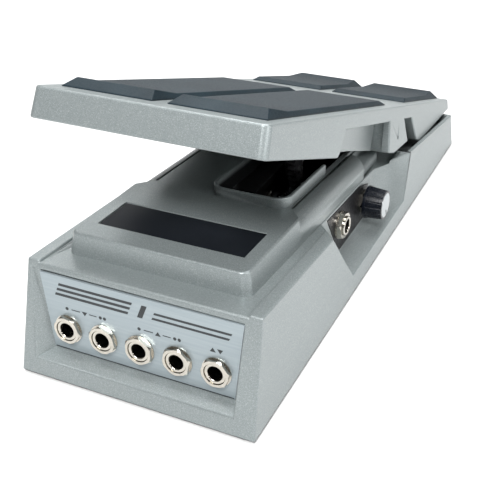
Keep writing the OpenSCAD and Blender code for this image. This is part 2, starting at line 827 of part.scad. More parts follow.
// Each pad has a raised ridge near its outer end: at the toe in front, at the heel behind
function front_pad() = [
  [11, 0], [157, 0], [157, pad_edge], [151, pad_t], [33, pad_t], [17, pad_t + 1.7], [11, pad_edge]];
function heel_pad() = [
  [193.5, 0], [268, 0], [268, pad_edge], [260.5, pad_t + 2], [244, pad_t], [197.5, pad_t], [193.5, pad_edge]];

module front_pad_left() color("darkslategray") foot_pad(-pad_out, -pad_in, front_pad());
module front_pad_right() color("darkslategray") foot_pad(pad_in, pad_out, front_pad());
module heel_pad_left() color("darkslategray") foot_pad(-pad_out, -pad_in, heel_pad());
module heel_pad_right() color("darkslategray") foot_pad(pad_in, pad_out, heel_pad());

// Rubber buffer under the toe: lands on the platform pad at toe down
module toe_stop() color("black") on_treadle() translate([0, 0, -toe_stop_h]) difference() {
  translate([-17, 22, 0]) cube([34, 12, toe_stop_h - treadle_t]);
  translate([-18, 26, -1]) cube([36, 4, 3]);
}

// ---------------------------------------------------------------- drive
// Point on an involute of base radius rb at radius r, as its polar angle in degrees
function involute(rb, r) = let (k = sqrt(max(0, r * r / (rb * rb) - 1))) k * 180 / PI - atan(k);

// Half a tooth's angle at radius r, for a gear of z teeth
function tooth_half(z, r) = let (rp = gear_m * z / 2, rb = rp * cos(pressure_angle))
  90 / z * (1 - backlash_share) + involute(rb, rp) - involute(rb, max(r, rb));

// One tooth centred on direction zero, from root to tip
module tooth(z) {
  rp = gear_m * z / 2;
  radii = [for (i = [0:5]) rp + gear_m * (i * (root_share + tip_share) / 5 - root_share)];
  right = [for (r = radii) [r * cos(tooth_half(z, r)), r * sin(tooth_half(z, r))]];
  left = [for (i = [5:-1:0]) [right[i][0], -right[i][1]]];
  polygon(concat([[rp - 2 * gear_m, 0]], right, left));
}

// Direction of the sector's tooth number i, in the [y, z] plane
function sector_tooth_a(i) = 180 + mesh_dir - i * 360 / sector_teeth;

// Ring that carries the sector's teeth
module sector_ring() {
  difference() {
    intersection() {
      circle(r = sector_r - 1.05 * gear_m, $fn = 96);
      wedge(180 + mesh_dir + 4.5, 180 + mesh_dir - treadle_travel - 5.5, sector_r + 10);
    }
    circle(r = sector_r - 9, $fn = 96);
  }
}

// Triangle-fan wedge between two directions
module wedge(a0, a1, r) {
  polygon([[0, 0], for (i = [0:4]) let (a = a1 + (a0 - a1) * i / 4) [r * cos(a), r * sin(a)]]);
}

module sector_gear() color("ivory") placed() translate([sector_x, hinge_y, hinge_z]) difference() {
  union() {
    across(0, sector_t) sector_ring();
    for (i = [-1:sector_last])
      across(0, sector_t) rotate([0, 0, sector_tooth_a(i)]) tooth(sector_teeth);
  }
  for (a = sector_screw_a) rotate([a, 0, 0]) translate([0, -sector_screw_r, 0])
    rod_x(-1, 10, 1 + clear);
}

module sector_screws() color("silver") placed() translate([sector_x + sector_t, hinge_y, hinge_z])
  for (a = sector_screw_a) rotate([a, 0, 0]) translate([0, -sector_screw_r, 0]) {
    rod_x(0, 1.2, 2);
    rod_x(-sector_t - arm_t, eps, 1);
  }

// [y, z] of a point at radius r from the hinge, a degrees below the forward horizontal
function from_hinge(r, a) = [hinge_y - r * cos(a), hinge_z - r * sin(a)];

// Arm from the treadle's underside down to the sector
module drive_arm() color("silver") difference() {
  union() {
    difference() {
      placed() across(sector_x - arm_t, sector_x) polygon([
        [129, 84], [129, 50], from_hinge(arm_r, mesh_dir - 8), from_hinge(arm_r, mesh_dir + 4),
        from_hinge(sector_r - 8.5, mesh_dir + 4), [152, 52], [152, 84]]);
      on_treadle() translate([0, 60, -treadle_t]) cube([40, 160, 40]);
    }
    on_treadle() translate([3.5, 106, -treadle_t - 2]) cube([sector_x - 3.5 - 0.5, 26, 2]);
  }
  for (s = arm_screw_s)
    on_treadle() translate([arm_screw_x, s, -8]) cylinder(r = screw_r + clear, h = 6);
  placed() translate([sector_x, hinge_y, hinge_z])
    for (a = sector_screw_a) rotate([a, 0, 0]) translate([0, -sector_screw_r, 0]) rod_x(-5, 5, 1 + clear);
}

module drive_arm_screws() color("silver") on_treadle() for (s = arm_screw_s)
  translate([arm_screw_x, s, -treadle_t - 2]) screw_up(screw_r, 4, 2.7, 1.5);

// ---------------------------------------------------------------- volume control
module volume_pot() color("gray") placed() translate([0, pot_y, pot_z]) difference() {
  union() {
    rod_x(pot_face_x - 7, pot_face_x, pot_case_r);
    rod_x(pot_face_x - 17, pot_face_x - 9, pot_case_r);
    rod_x(pot_face_x - 9.5, pot_face_x - 6.5, 5);
    rod_x(pot_face_x - 1, pot_face_x + 6, pot_bush_r);
    for (x = [pot_face_x - 16, pot_face_x - 6]) translate([x, -5, -13]) cube([2, 10, 6]);
  }
  rod_x(pot_face_x - 5, pot_face_x + 10, pot_shaft_r + run_clear);
}

module pot_bracket() color("gainsboro") placed() difference() {
  union() {
    translate([pot_face_x, pot_y - 16, pot_z - 10]) cube([bracket_t, 32, 21.5]);
    translate([-15, pot_y - 16, pot_z + 10]) cube([pot_face_x + 15 + bracket_t, 32, 1.5]);
  }
  translate([0, pot_y, pot_z]) rod_x(0, 10, pot_bush_r + clear);
  for (s = [-1, 1]) translate([bracket_screw_x, pot_y + s * bracket_screw_dy, pot_z])
    cylinder(r = screw_r + clear, h = 20);
}

module pot_bracket_screws() color("silver") placed() for (s = [-1, 1])
  translate([bracket_screw_x, pot_y + s * bracket_screw_dy, pot_z + 10]) screw_up(screw_r, 5.2, 2.6, 1.4);

module pot_nut() color("gainsboro") placed()
  translate([pot_face_x + bracket_t, pot_y, pot_z]) rotate([0, 0, 90])
    hex_nut(-2, 0, 6.8, pot_bush_r);

module pot_shaft() color("lightgray") placed() translate([0, pot_y, pot_z])
  rod_x(pot_face_x - 4.9, sector_x + sector_t + 0.5, pot_shaft_r);

// Pinion with a hub; a gap between its teeth faces the sector
module volume_pinion() color("ivory") placed() translate([sector_x - 2.2, pot_y, pot_z]) difference() {
  union() {
    rod_x(0, hub_l + sector_t, pinion_r - 1.05 * gear_m);
    for (i = [0:pinion_teeth - 1])
      across(hub_l, hub_l + sector_t) rotate([0, 0, mesh_dir + (i + 0.5) * 360 / pinion_teeth])
        tooth(pinion_teeth);
  }
  rod_x(-1, 10, pot_shaft_r);
}

// ---------------------------------------------------------------- minimum-volume control
module min_pot() color("gray") placed() translate([notch_wall_x, min_pot_y, min_pot_z])
  difference() {
    union() {
      rod_x(-wall_t - 9.5, -wall_t - 0.5, 8);
      rod_x(-wall_t - 1, 2.2, min_bush_r);
      translate([-wall_t - 7, -4, -10]) cube([2, 8, 4]);
    }
    rod_x(-wall_t - 6, 5, min_shaft_r + run_clear);
  }

module min_pot_nut() color("gainsboro") placed()
  translate([notch_wall_x, min_pot_y, min_pot_z]) rotate([0, 0, 90])
    hex_nut(-1.6, 0, 5.8, min_bush_r);

module min_pot_shaft() color("lightgray") placed()
  translate([notch_wall_x, min_pot_y, min_pot_z]) rod_x(-wall_t - 5.9, 9.5, min_shaft_r);

// Tapered knob with shallow flutes and a recess for its cap
module min_knob() color("black") placed()
  translate([knob_x, min_pot_y, min_pot_z]) rotate([0, 90, 0]) difference() {
    union() {
      cylinder(r = knob_foot_r, h = 1.2);
      cylinder(r1 = knob_foot_r - 0.2, r2 = knob_tip_r, h = knob_h);
    }
    for (i = [0:knob_flutes - 1]) rotate([0, 0, i * 360 / knob_flutes])
      translate([knob_foot_r + 0.15, 0, 1.4]) rotate([0, -atan((knob_foot_r - knob_tip_r) / knob_h), 0])
        cylinder(r = 0.6, h = 12);
    translate([0, 0, knob_cap_z]) cylinder(r = knob_tip_r - 1, h = 2);
    translate([0, 0, -1]) cylinder(r = min_shaft_r, h = 8);
  }

module min_knob_cap() color("silver") placed()
  translate([knob_x + knob_cap_z, min_pot_y, min_pot_z]) rotate([0, 90, 0]) difference() {
    cylinder(r = knob_tip_r - 1.05, h = knob_cap_t);
    rotate([0, 0, 15]) translate([knob_tip_r - 4.2, -0.5, 0.3]) cube([3, 1, 1]);
  }

// ---------------------------------------------------------------- wiring
// Insulated wires from the front board to the potentiometer's two gangs and the side socket
module wire_harness() color("firebrick") placed()
  for (w = [[pot_face_x - 15, pot_y - 5], [pot_face_x - 5, pot_y - 5], [28, side_jack_y - jack_half]])
    translate([w[0], 0, board_z + board_t / 2]) rod_y(board_y1, w[1], wire_r);

housing();
bottom_cover();
rubber_feet();
cover_screws();
jack_panel();
front_jack(0);  // jack_1
front_jack(1);  // jack_2
front_jack(2);  // jack_3
front_jack(3);  // jack_4
front_jack(4);  // jack_5
side_jack();
jack_washers();
jack_nuts();
side_jack_washer();
side_jack_nut();
jack_board();
jack_board_screws();
control_board();
side_plate();
platform_pad();
heel_stops();
hinge_bushes();
hinge_shaft();
friction_washers();
torque_screws();
treadle();
front_pad_left();
front_pad_right();
heel_pad_left();
heel_pad_right();
toe_stop();
drive_arm();
drive_arm_screws();
sector_gear();
sector_screws();
volume_pot();
pot_bracket();
pot_bracket_screws();
pot_nut();
pot_shaft();
volume_pinion();
min_pot();
min_pot_nut();
min_pot_shaft();
min_knob();
min_knob_cap();
wire_harness();
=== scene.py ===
"""Looks of the volume pedal: procedural materials, softened cast edges, studio floor, lights and camera.

Metres, in the part's own frame: +Z up, -Y towards the sockets, +X towards the side knob.
"""
import math

import bmesh
import bpy
from mathutils import Matrix, Vector
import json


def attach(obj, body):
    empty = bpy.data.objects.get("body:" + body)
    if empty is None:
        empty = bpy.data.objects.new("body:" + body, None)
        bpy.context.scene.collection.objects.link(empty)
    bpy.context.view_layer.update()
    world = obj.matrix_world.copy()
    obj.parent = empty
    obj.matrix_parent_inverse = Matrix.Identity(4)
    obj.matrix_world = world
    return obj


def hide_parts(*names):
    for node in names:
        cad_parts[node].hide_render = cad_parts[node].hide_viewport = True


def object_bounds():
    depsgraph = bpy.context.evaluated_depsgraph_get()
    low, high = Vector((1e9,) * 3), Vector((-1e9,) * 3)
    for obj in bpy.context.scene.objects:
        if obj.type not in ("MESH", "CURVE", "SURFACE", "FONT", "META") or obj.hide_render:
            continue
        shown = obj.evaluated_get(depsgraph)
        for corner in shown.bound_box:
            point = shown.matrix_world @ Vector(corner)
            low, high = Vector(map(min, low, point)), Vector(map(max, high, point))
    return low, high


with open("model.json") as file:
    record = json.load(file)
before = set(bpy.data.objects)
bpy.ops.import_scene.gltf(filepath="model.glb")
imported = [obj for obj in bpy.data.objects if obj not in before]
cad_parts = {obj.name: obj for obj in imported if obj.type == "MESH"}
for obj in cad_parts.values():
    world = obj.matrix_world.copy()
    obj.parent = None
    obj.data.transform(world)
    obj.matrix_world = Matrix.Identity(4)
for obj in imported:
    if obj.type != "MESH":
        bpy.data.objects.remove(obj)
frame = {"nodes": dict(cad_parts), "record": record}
cad_low, cad_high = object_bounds()
nodes = frame["nodes"]
MM = 0.001
FOOT_DROP = 1.2 * MM      # height of the rubber feet below the base's lower rim
LENGTH = 289              # mm, the base from its front rim to its heel
SOCKETS = 5               # in the front panel, jack_1 to jack_5

# Camera, found from the perspective of the real object's edges
CAMERA_AT = (0.17112, -0.37611, 0.25087)
CAMERA_AZIMUTH = 26.91
CAMERA_ELEVATION = 31.22
CAMERA_ROLL = -2.04
LENS_MM = 68.95
SENSOR_MM = 36
SHIFT = (-0.0077, -0.0082)

# Colours, linear
SILVER = (0.185, 0.212, 0.214)
SILVER_LIGHT = (0.27, 0.30, 0.302)
SPARKLE = (0.62, 0.65, 0.65)
# painted shade inside the control well
WELL_SHADE_BLACK = (0.012, 0.013, 0.014)
SLATE = (0.009, 0.020, 0.027)
SLATE_DARK = (0.004, 0.011, 0.016)
SLATE_WORN = (0.020, 0.031, 0.038)
NICKEL = (0.56, 0.53, 0.47)
NEAR_BLACK = (0.006, 0.006, 0.007)
WORN_BLACK = (0.018, 0.018, 0.018)
PAD_BLACK = (0.004, 0.005, 0.007)
PAD_SMEAR = (0.010, 0.012, 0.016)
PANEL_BLUE = (0.27, 0.315, 0.335)
PANEL_LIGHT = (0.31, 0.355, 0.375)
# printing ink, also used for a painted gap shadow along the panel's lower edge
INK_AND_SHADOW_DARK = (0.010, 0.013, 0.015)
INK_WORN_AND_SHADOW_PALE = (0.022, 0.026, 0.029)
PAPER_DARK = (0.65, 0.65, 0.65)
PAPER = (0.67, 0.67, 0.67)
METAL_SHADE = 0.82        # how much of a metal's colour is left in its marks
PLASTIC_LIFT = 1.5        # how many times lighter a plastic's clouds are

# The control well: its middle across, its front, its half width and corner radius, its top at the front
WELL_X = 14 * MM
WELL_Y = (83.5 - LENGTH / 2) * MM
WELL_END = (158 - LENGTH / 2) * MM
WELL_HALF = 17 * MM
WELL_CORNER = 6 * MM
WELL_TOP = 59.5 * MM
WELL_SLACK = 0.15 * MM    # how far outside the outline its own walls may lie
WELL_FADE = (2.5 * MM, 0.8 * MM)    # depths below the collar between which the painted shade fades out
DECK_FALL = math.tan(math.radians(5))


# ------------------------------------------------------------------ shader helpers
class Shader:
    """A material under construction, with short calls for the nodes that the finishes share."""

    def __init__(self, name):
        self.material = bpy.data.materials.new(name)
        self.material.use_nodes = True
        self.tree = self.material.node_tree
        self.bsdf = self.tree.nodes["Principled BSDF"]
        self.place = self.node("ShaderNodeTexCoord").outputs["Object"]

    def node(self, kind, **settings):
        made = self.tree.nodes.new(kind)
        for key, value in settings.items():
            setattr(made, key, value)
        return made

    def link(self, source, target):
        self.tree.links.new(source, target)

    def set(self, **sockets):
        """Sets the shader's own sockets, such as metallic=1.0 or coat_weight=0.2."""
        for key, value in sockets.items():
            title = key.replace("_", " ").title().replace("Ior", "IOR")
            self.bsdf.inputs[title].default_value = value

    def stretched(self, factors):
        """Object coordinates scaled by one factor per axis."""
        mapping = self.node("ShaderNodeMapping")
        mapping.inputs["Scale"].default_value = factors
        self.link(self.place, mapping.inputs["Vector"])
        return mapping.outputs["Vector"]

    def noise(self, scale, detail=2.0, roughness=0.5, at=None):
        made = self.node("ShaderNodeTexNoise")
        made.inputs["Scale"].default_value = scale
        made.inputs["Detail"].default_value = detail
        made.inputs["Roughness"].default_value = roughness
        self.link(at or self.place, made.inputs["Vector"])
        return made.outputs["Fac"]

    def cells(self, scale):
        """One plain colour for each cell of a fine pattern."""
        made = self.node("ShaderNodeTexVoronoi")
        made.inputs["Scale"].default_value = scale
        self.link(self.place, made.inputs["Vector"])
        return made.outputs["Color"]

    def remap(self, value, low, high, to_low=0.0, to_high=1.0):
        made = self.node("ShaderNodeMapRange")
        self.link(value, made.inputs["Value"])
        for key, number in (("From Min", low), ("From Max", high), ("To Min", to_low), ("To Max", to_high)):
            made.inputs[key].default_value = number
        return made.outputs["Result"]

    def math(self, operation, a, b=None):
        made = self.node("ShaderNodeMath", operation=operation)
        for socket, value in zip(made.inputs, (a, b)):
            if isinstance(value, (int, float)):
                socket.default_value = value
            elif value is not None:
                self.link(value, socket)
        return made.outputs[0]

    def axis(self, name, at=None):
        made = self.node("ShaderNodeSeparateXYZ")
        self.link(at or self.place, made.inputs[0])
        return made.outputs[name]

    def mix(self, factor, low, high):
        """Blend of two colours, each a tuple or a socket."""
        made = self.node("ShaderNodeMix", data_type="RGBA")
        self.link(factor, made.inputs[0])
        for socket, value in ((made.inputs[6], low), (made.inputs[7], high)):
            if isinstance(value, tuple):
                socket.default_value = (*value, 1.0)
            else:
                self.link(value, socket)
        return made.outputs[2]

    def bump(self, height, strength, depth, under=None):
        made = self.node("ShaderNodeBump")
        made.inputs["Strength"].default_value = strength
        made.inputs["Distance"].default_value = depth
        self.link(height, made.inputs["Height"])
        if under is not None:
            self.link(under, made.inputs["Normal"])
        return made.outputs["Normal"]

    def colour(self, source):
        self.link(source, self.bsdf.inputs["Base Color"])

    def rough(self, source):
        self.link(source, self.bsdf.inputs["Roughness"])

    def normal(self, source):
        self.link(source, self.bsdf.inputs["Normal"])


# ------------------------------------------------------------------ finishes
def painted_well_shade(s):
    """1 where painted shade darkens the housing's own walls inside the control well, fading out at the
    collar.
    """
    x, y, z = (s.axis(name) for name in "XYZ")
    # distance outside the rounded outline, measured from the centres of its front corners
    aside = s.math("SUBTRACT", s.math("ABSOLUTE", s.math("SUBTRACT", x, WELL_X)), WELL_HALF - WELL_CORNER)
    ahead = s.math("SUBTRACT", WELL_Y + WELL_CORNER, y)
    square = [s.math("POWER", s.math("MAXIMUM", value, 0.0), 2.0) for value in (aside, ahead)]
    reach = s.math("SQRT", s.math("ADD", *square))
    within = s.math("LESS_THAN", reach, WELL_CORNER + WELL_SLACK)
    inside = s.math("MULTIPLY", within, s.math("LESS_THAN", y, WELL_END))
    level = s.math("ADD", z, s.math("MULTIPLY", s.math("SUBTRACT", y, WELL_Y), DECK_FALL))
    deep = s.remap(level, WELL_TOP - WELL_FADE[0], WELL_TOP - WELL_FADE[1], 1.0, 0.0)
    return s.math("MULTIPLY", inside, deep)


def cast_paint(name):
    """Fine-textured silver metallic paint on a die casting; on the housing, painted shade turns it nearly
    black inside the well.
    """
    s = Shader(name)
    grain = s.noise(3200, 3.0, 0.6)
    flake = s.axis("X", s.cells(5200))
    mottle = s.noise(22, 3.0)
    base = s.mix(s.remap(grain, 0.35, 0.65), SILVER, SILVER_LIGHT)
    soft = s.mix(s.remap(mottle, 0.3, 0.7, 0.0, 0.12), base, SILVER)
    bright = s.mix(s.remap(flake, 0.80, 1.0, 0.0, 0.34), soft, SPARKLE)
    # inside the well the housing's paint gives way to painted shade, nearly black
    s.colour(s.mix(painted_well_shade(s), bright, WELL_SHADE_BLACK) if name == "cast_body" else bright)
    s.set(metallic=0.4, specular_ior_level=0.5)
    s.rough(s.remap(grain, 0.3, 0.7, 0.30, 0.44))
    coarse = s.bump(grain, 0.3, 0.1 * MM)
    s.normal(s.bump(flake, 0.15, 0.04 * MM, coarse))
    return s


def foot_rubber():
    """Slate rubber of the foot pads, clouded and scuffed along their length."""
    s = Shader("foot_rubber")
    grain = s.noise(1800, 2.0)
    cloud = s.noise(40, 4.0)
    scuff = s.noise(9, 5.0, 0.7, at=s.stretched((3.0, 0.6, 1.0)))
    base = s.mix(s.remap(cloud, 0.3, 0.7), SLATE_DARK, SLATE)
    s.colour(s.mix(s.remap(scuff, 0.5, 0.75, 0.0, 0.35), base, SLATE_WORN))
    s.rough(s.remap(grain, 0.3, 0.7, 0.44, 0.6))
    s.set(specular_ior_level=0.24)
    s.normal(s.bump(grain, 0.5, 0.08 * MM))
    return s


def black_rubber():
    """Matt rubber of the feet and stops."""
    s = Shader("black_rubber")
    grain = s.noise(1400, 2.0)
    s.colour(s.mix(s.remap(grain, 0.3, 0.7), NEAR_BLACK, WORN_BLACK))
    s.rough(s.remap(s.noise(60, 3.0), 0.3, 0.7, 0.62, 0.82))
    s.normal(s.bump(grain, 0.5, 0.06 * MM))
    return s


def satin_pad():
    """Smooth black rubber let into the platform, slightly smeared."""
    s = Shader("satin_pad")
    grain = s.noise(2200, 2.0)
    smear = s.noise(26, 4.0)
    s.colour(s.mix(s.remap(smear, 0.3, 0.75), PAD_BLACK, PAD_SMEAR))
    s.rough(s.remap(smear, 0.3, 0.7, 0.4, 0.52))
    s.set(specular_ior_level=0.16)
    s.normal(s.bump(grain, 0.2, 0.03 * MM))
    return s


def brushed_panel():
    """Blue-silver sheet of the socket panel, brushed across."""
    s = Shader("panel_plate")
    lines = s.noise(900, 2.0, at=s.stretched((0.03, 1.0, 1.0)))
    s.colour(s.mix(s.remap(lines, 0.3, 0.7), PANEL_BLUE, PANEL_LIGHT))
    s.set(metallic=0.45, anisotropic=0.5)
    s.rough(s.remap(lines, 0.3, 0.7, 0.32, 0.42))
    s.normal(s.bump(lines, 0.08, 0.03 * MM))
    return s


def metal(name, colour, roughness, brushed=(1.0, 1.0, 1.0), metallic=1.0):
    """Bare or plated metal with fine marks, brushed along the axis whose factor is small."""
    s = Shader(name)
    marks = s.noise(700, 3.0, at=s.stretched(brushed))
    dark = tuple(c * METAL_SHADE for c in colour)
    s.colour(s.mix(s.remap(marks, 0.3, 0.7), dark, colour))
    s.set(metallic=metallic)
    s.rough(s.remap(marks, 0.3, 0.7, roughness * 0.8, roughness * 1.25))
    s.normal(s.bump(marks, 0.1, 0.02 * MM))
    return s


def plastic(name, colour, roughness, gloss=0.5):
    """Moulded or coated surface, clouded a little lighter than its colour."""
    s = Shader(name)
    s.set(specular_ior_level=gloss)
    cloud = s.noise(300, 3.0)
    s.colour(s.mix(s.remap(cloud, 0.3, 0.7), colour, tuple(c * PLASTIC_LIFT for c in colour)))
    s.rough(s.remap(cloud, 0.3, 0.7, roughness * 0.85, roughness * 1.15))
    s.normal(s.bump(s.noise(1600), 0.15, 0.03 * MM))
    return s


# One finish for each of the record's material slots
FINISHES = {
    "cast_body": lambda: cast_paint("cast_body"),
    "cast_treadle": lambda: cast_paint("cast_treadle"),
    "cover_plate": lambda: plastic("cover_plate", (0.010, 0.010, 0.011), 0.5),
    "black_rubber": black_rubber,
    "dark_screw": lambda: metal("dark_screw", (0.05, 0.05, 0.055), 0.35),
    "steel_screw": lambda: metal("steel_screw", (0.45, 0.45, 0.46), 0.3),
    "panel_plate": brushed_panel,
    "nickel": lambda: metal("nickel", NICKEL, 0.2),
    "socket_metal": lambda: metal("socket_metal", NICKEL, 0.16),
    "circuit_board": lambda: plastic("circuit_board", (0.004, 0.030, 0.010), 0.35),
    "dark_plate": lambda: metal("dark_plate", (0.012, 0.012, 0.014), 0.4, metallic=0.3),
    "satin_pad": satin_pad,
    "foot_rubber": foot_rubber,
    "bronze_bush": lambda: metal("bronze_bush", (0.32, 0.18, 0.07), 0.4),
    "brass_washer": lambda: metal("brass_washer", (0.55, 0.38, 0.14), 0.3),
    "steel_shaft": lambda: metal("steel_shaft", (0.42, 0.42, 0.42), 0.25, brushed=(0.05, 1.0, 1.0)),
    "drive_steel": lambda: metal("drive_steel", (0.27, 0.275, 0.28), 0.38),
    "bracket_steel": lambda: metal("bracket_steel", (0.10, 0.10, 0.10), 0.45),
    "gear_plastic": lambda: plastic("gear_plastic", (0.012, 0.012, 0.013), 0.45),
    "pot_case": lambda: metal("pot_case", (0.10, 0.10, 0.10), 0.4),
    "knob_plastic": lambda: plastic("knob_plastic", (0.002, 0.003, 0.006), 0.28, gloss=0.3),
    "knob_cap": lambda: metal("knob_cap", (0.46, 0.49, 0.50), 0.35),
    "wire_insulation": lambda: plastic("wire_insulation", (0.22, 0.012, 0.010), 0.4),
}


def dress_nodes():
    """Gives every CAD node its slot's material."""
    made = {slot: make().material for slot, make in FINISHES.items()}
    for part in frame["record"]["subparts"]:
        mesh = nodes[part["node"]].data
        mesh.materials.clear()
        mesh.materials.append(made[part["material_slot"]])


# ------------------------------------------------------------------ edges
SHARP = math.radians(22)       # an edge that turns less is left as it is
FLAT = math.radians(0.5)       # faces that turn less are joined into one
SMOOTH = math.radians(34)      # shading stays smooth over a smaller turn
JOIN = 0.06 * MM               # corners closer than this become one
BEVEL_STEPS = 3
MOST_RADIUS = 3.0              # mm, the largest rounding of an edge

# Radii of the rounded edges, in mm
COLLAR_RADIUS = 0.7
FRONT_CORNER_RADIUS = 1.2
HEEL_CORNER_RADIUS = 3.0
RIM_RADIUS = 0.6
PLATFORM_RADIUS = 1.1
LEDGE_RADIUS = 1.1
SHOULDER_RADIUS = 0.8
RECESS_RADIUS = 0.6
HEEL_RADIUS = 1.5
SIDE_RADIUS = 0.5
TREADLE_RADIUS = 0.9
SKIRT_RADIUS = 0.4
PAD_RADIUS = 0.45
LIP_RADIUS = 0.45

# An edge has to be longer than these to be rounded, in mm
SHORT_EDGE = 4
SHORT_PAD_EDGE = 2
SHORT_TREADLE_EDGE = 0.3
LIP_EDGE = 2                   # the edges round a socket's mouth are shorter than this

# Places on the base in its own frame, in mm: a pair is the two ends of a stretch
COLLAR_X = (-6, 34)
COLLAR_Y = (80, 130)
COLLAR_FOOT_Y = 81.7           # the collar's foot is on the deck, which falls towards the heel
COLLAR_FOOT_Z = 56.6
PLATFORM_Y = (24, 80)
PLATFORM_HALF = 43
PLATFORM_FOOT = 49
PAD_SEAT_Y = (37, 62)          # the platform's pad lies in a seat that stays sharp
PAD_SEAT_HALF = 34.5
FRONT_END = 16                 # the recess and the ledge over it lie ahead of this
LEDGE_HALF = 50
LEDGE_FOOT = 47
HEEL_END = 280
HEEL_FACE = 285
FRONT_CORNER_Y = 15
FRONT_CORNER_X = 53
RIM_X = 54                     # how far out the lower rim's side edges are
RIM_BAND = 0.5                 # how close to the rim an edge has to be
SHOULDER_X = 46
SHOULDER_Z = 19
SIDE_X = 42
SIDE_Z = 10
UPRIGHT = 0.9                  # share of an upright edge's direction that is along Z
TREADLE_SIDE_X = 48.5
TOE_Y = 33
TOE_Z = 100
FRONT_MOUTH_Y = 9.6            # the front sockets' mouths are ahead of this
SIDE_MOUTH_X = 46              # the side socket's mouth is outside this


def base_frame(point):
    """A point in the base's frame, in mm: y from the front rim, z from the lower rim."""
    return point.x / MM, (point.y - cad_low.y) / MM, (point.z - FOOT_DROP) / MM


def between(value, ends):
    """Whether a value lies inside a stretch."""
    return ends[0] < value < ends[1]


def cleaned(node):
    """The node's mesh with its faces joined up again, so that only real edges are left."""
    shape = bmesh.new()
    shape.from_mesh(nodes[node].data)
    bmesh.ops.remove_doubles(shape, verts=shape.verts, dist=JOIN)
    bmesh.ops.dissolve_limit(shape, angle_limit=FLAT, verts=shape.verts, edges=shape.edges)
    return shape


def rounded(node, radius_of):
    """Replaces a CAD node by a copy whose outer edges are rounded.

    radius_of(middle, direction, length) gives an edge's radius in mm, or 0 to leave it sharp.
    """
    shape = cleaned(node)
    weight = shape.edges.layers.float.new("bevel_weight_edge")
    for edge in shape.edges:
        if len(edge.link_faces) == 2 and edge.calc_face_angle_signed(0) > SHARP:
            start, end = (v.co for v in edge.verts)
            length = edge.calc_length()
            radius = radius_of((start + end) / 2, (end - start) / max(length, 1e-9), length / MM)
            edge[weight] = min(radius / MOST_RADIUS, 1.0)
    mesh = bpy.data.meshes.new(node + "_rounded")
    shape.to_mesh(mesh)
    shape.free()
    piece = bpy.data.objects.new(node + "_rounded", mesh)
    bpy.context.collection.objects.link(piece)
    bevel = piece.modifiers.new("bevel", "BEVEL")
    bevel.width = MOST_RADIUS * MM
    bevel.segments = BEVEL_STEPS
    bevel.limit_method = "WEIGHT"
    bevel.use_clamp_overlap = False
    bpy.context.view_layer.update()
    graph = bpy.context.evaluated_depsgraph_get()
    made = bpy.data.meshes.new_from_object(piece.evaluated_get(graph))
    piece.modifiers.clear()
    piece.data = made
    made.shade_smooth()
    made.set_sharp_from_angle(angle=SMOOTH)
    normals = piece.modifiers.new("normals", "WEIGHTED_NORMAL")
    normals.keep_sharp = True
    made.materials.clear()
    made.materials.append(nodes[node].data.materials[0])
    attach(piece, body_of[node])
    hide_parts(node)


def housing_radius(middle, direction, length):
    """The first place that the edge is in decides."""
    x, y, z = base_frame(middle)
    across, upright, long_edge = abs(x), abs(direction.z) > UPRIGHT, length > SHORT_EDGE
    collar_foot = COLLAR_FOOT_Z - (y - COLLAR_FOOT_Y) * DECK_FALL
    pad_seat = across < PAD_SEAT_HALF and between(y, PAD_SEAT_Y)
    if between(x, COLLAR_X) and between(y, COLLAR_Y) and z > collar_foot:
        return COLLAR_RADIUS
    if across > FRONT_CORNER_X and y < FRONT_CORNER_Y and upright:
        return FRONT_CORNER_RADIUS
    if y > HEEL_FACE and upright:
        return HEEL_CORNER_RADIUS
    if z < RIM_BAND and (across > RIM_X or y < RIM_BAND or y > LENGTH - 1):
        return RIM_RADIUS
    if between(y, PLATFORM_Y) and across < PLATFORM_HALF and z > PLATFORM_FOOT and not pad_seat:
        return PLATFORM_RADIUS
    if y < FRONT_END and z > LEDGE_FOOT and across < LEDGE_HALF:
        return LEDGE_RADIUS
    if across > SHOULDER_X and z > SHOULDER_Z and long_edge:
        return SHOULDER_RADIUS                       # shoulders and side notch
    if y < FRONT_END and long_edge:
        return RECESS_RADIUS
    if y > HEEL_END and long_edge:
        return HEEL_RADIUS
    return SIDE_RADIUS if across > SIDE_X and z > SIDE_Z and long_edge else 0.0


def treadle_radius(middle, direction, length):
    """Round along the sides, the toe and the heel; a little round on the skirts' long edges."""
    x, y, z = base_frame(middle)
    if abs(x) > TREADLE_SIDE_X or (y < TOE_Y and z > TOE_Z) or y > HEEL_FACE:
        return TREADLE_RADIUS if length > SHORT_TREADLE_EDGE else 0.0
    return SKIRT_RADIUS if abs(x) > SIDE_X and length > SHORT_EDGE else 0.0


def pad_radius(middle, direction, length):
    """The same all over a rubber pad."""
    return PAD_RADIUS if length > SHORT_PAD_EDGE else 0.0


def front_lip_radius(middle, direction, length):
    """Rounds the mouth of a front socket."""
    y = base_frame(middle)[1]
    return LIP_RADIUS if y < FRONT_MOUTH_Y and length < LIP_EDGE else 0.0


def side_lip_radius(middle, direction, length):
    """Rounds the mouth of the side socket."""
    x = base_frame(middle)[0]
    return LIP_RADIUS if x > SIDE_MOUTH_X and length < LIP_EDGE else 0.0


def round_edges():
    """Rounds the castings, the pads and the mouths of the sockets."""
    rounded("housing", housing_radius)
    rounded("treadle", treadle_radius)
    for pad in ("front_pad_left", "front_pad_right", "heel_pad_left", "heel_pad_right", "platform_pad"):
        rounded(pad, pad_radius)
    for i in range(1, SOCKETS + 1):
        rounded("jack_%d" % i, front_lip_radius)
    rounded("side_jack", side_lip_radius)


# ------------------------------------------------------------------ printed marks and a painted gap shadow
PANEL_LEAN = math.radians(3.9)
PANEL_Y = 9.5             # mm, the panel's lower edge in the base's frame
PANEL_Z = 9.8
PANEL_HALF_LOW = 42.5     # half width at the lower edge
SOCKET_PITCH = 17.3
MARK_PROUD = 0.04                # mm, how far a printed mark or the painted gap-shadow line stands proud
